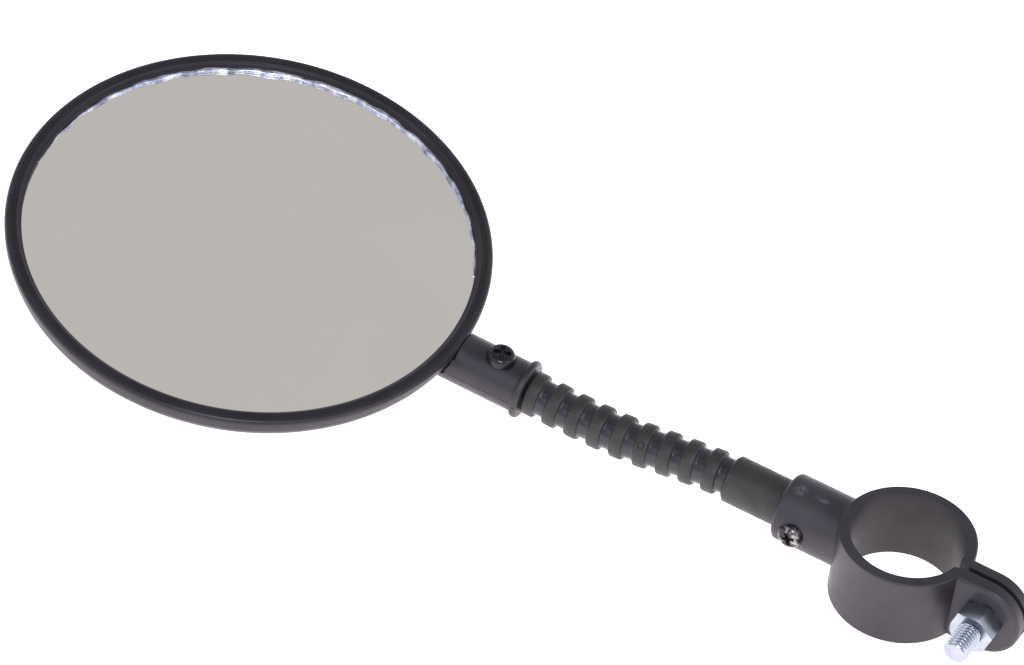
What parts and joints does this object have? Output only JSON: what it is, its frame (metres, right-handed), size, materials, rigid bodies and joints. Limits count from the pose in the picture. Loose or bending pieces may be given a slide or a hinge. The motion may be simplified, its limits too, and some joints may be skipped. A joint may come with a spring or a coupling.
{
  "type": "bicycle handlebar mirror",
  "caption": "Round bicycle mirror with a back reflector on a flexible ribbed neck, held by a split ring clamp for a straight handlebar.",
  "frame": {"origin": "centre of the clamp's bore, at mid height on the handlebar's axis", "axes": "+Z along the handlebar, on the side that the mirror's face looks to; +X from the clamp along the neck's base towards the mirror; the clamp's ears point to -X and its nut is on the +Y side"},
  "size_m": [0.2146, 0.094, 0.0235],
  "materials": {
    "black_plastic": "matte black injection-moulded plastic",
    "rim_plastic": "matte black injection-moulded plastic",
    "zinc_steel": "bright zinc plated steel",
    "dark_steel": "blackened steel, worn bright at the recess",
    "black_screw": "black plated steel",
    "neck_rubber": "dark grey flexible rubber",
    "iron_wire": "plain soft iron",
    "mirror_glass": "silvered glass",
    "foam": "closed-cell foam",
    "reflector_clear": "clear prismatic acrylic",
    "reflector_white": "pale backing disc"
  },
  "bodies": {
    "clamp": {"handlebar_clamp": "black_plastic", "clamp_bolt": "zinc_steel", "clamp_nut": "zinc_steel", "socket_set_screw": "dark_steel"},
    "neck_base": {"neck_barrel": "neck_rubber", "neck_core_wire": "iron_wire"},
    "rib_9": {"neck_rib_9": "neck_rubber"},
    "rib_8": {"neck_rib_8": "neck_rubber"},
    "rib_7": {"neck_rib_7": "neck_rubber"},
    "rib_6": {"neck_rib_6": "neck_rubber"},
    "rib_5": {"neck_rib_5": "neck_rubber"},
    "rib_4": {"neck_rib_4": "neck_rubber"},
    "rib_3": {"neck_rib_3": "neck_rubber"},
    "rib_2": {"neck_rib_2": "neck_rubber"},
    "rib_1": {"neck_rib_1": "neck_rubber"},
    "head": {"mirror_housing": "black_plastic", "stem_front_shell": "black_plastic", "stem_screw": "black_screw", "bezel_ring": "rim_plastic", "mirror_glass": "mirror_glass", "glass_backing_pad": "foam", "reflector_lens": "reflector_clear", "reflector_backing": "reflector_white"}
  },
  "joints": [
    {"name": "clamp_swivel", "type": "hinge", "parent": "clamp", "child": "neck_base", "pos_m": [0.0252, 0, 0.001], "axis": [1, 0, 0], "continuous": true},
    {"name": "bend_side_9", "type": "hinge", "parent": "neck_base", "child": "rib_9", "pos_m": [0.0382, 0, 0.001], "axis": [0, 0, 1], "range_deg": [-12, 12], "deforming": ["neck_core_wire"]},
    {"name": "bend_lift_8", "type": "hinge", "parent": "rib_9", "child": "rib_8", "pos_m": [0.04293, 0.00044, 0.001], "axis": [-0.0924, 0.9957, 0], "range_deg": [-12, 12], "deforming": ["neck_core_wire"]},
    {"name": "bend_side_7", "type": "hinge", "parent": "rib_8", "child": "rib_7", "pos_m": [0.04765, 0.00088, 0.00079], "axis": [0.0434, 0.004, 0.999], "range_deg": [-12, 12], "deforming": ["neck_core_wire"]},
    {"name": "bend_lift_6", "type": "hinge", "parent": "rib_7", "child": "rib_6", "pos_m": [0.05237, 0.00142, 0.00059], "axis": [-0.1149, 0.9934, 0.001], "range_deg": [-12, 12], "deforming": ["neck_core_wire"]},
    {"name": "bend_side_5", "type": "hinge", "parent": "rib_6", "child": "rib_5", "pos_m": [0.05709, 0.00197, 0.00047], "axis": [0.0244, 0.0018, 0.9997], "range_deg": [-12, 12], "deforming": ["neck_core_wire"]},
    {"name": "bend_lift_4", "type": "hinge", "parent": "rib_5", "child": "rib_4", "pos_m": [0.06183, 0.00217, 0.00035], "axis": [-0.0419, 0.9991, -0.0008], "range_deg": [-12, 12], "deforming": ["neck_core_wire"]},
    {"name": "bend_side_3", "type": "hinge", "parent": "rib_4", "child": "rib_3", "pos_m": [0.06658, 0.00237, 0.00043], "axis": [-0.0157, 0.0001, 0.9999], "range_deg": [-12, 12], "deforming": ["neck_core_wire"]},
    {"name": "bend_lift_2", "type": "hinge", "parent": "rib_3", "child": "rib_2", "pos_m": [0.07132, 0.00242, 0.0005], "axis": [-0.0122, 0.9999, -0.0003], "range_deg": [-12, 12], "deforming": ["neck_core_wire"]},
    {"name": "bend_side_1", "type": "hinge", "parent": "rib_2", "child": "rib_1", "pos_m": [0.07606, 0.00248, 0.00083], "axis": [-0.0698, -0.0005, 0.9976], "range_deg": [-12, 12], "deforming": ["neck_core_wire"]},
    {"name": "head_swivel", "type": "hinge", "parent": "rib_1", "child": "head", "pos_m": [0.08271, 0.00285, 0.0013], "axis": [0.996, 0.0558, 0.0697], "continuous": true}
  ],
  "couplings": [
    {"joint": "bend_side_7", "follows": "bend_side_9", "ratio": 1},
    {"joint": "bend_lift_6", "follows": "bend_lift_8", "ratio": 1},
    {"joint": "bend_side_5", "follows": "bend_side_9", "ratio": 1},
    {"joint": "bend_lift_4", "follows": "bend_lift_8", "ratio": 1},
    {"joint": "bend_side_3", "follows": "bend_side_9", "ratio": 1},
    {"joint": "bend_lift_2", "follows": "bend_lift_8", "ratio": 1},
    {"joint": "bend_side_1", "follows": "bend_side_9", "ratio": 1}
  ]
}
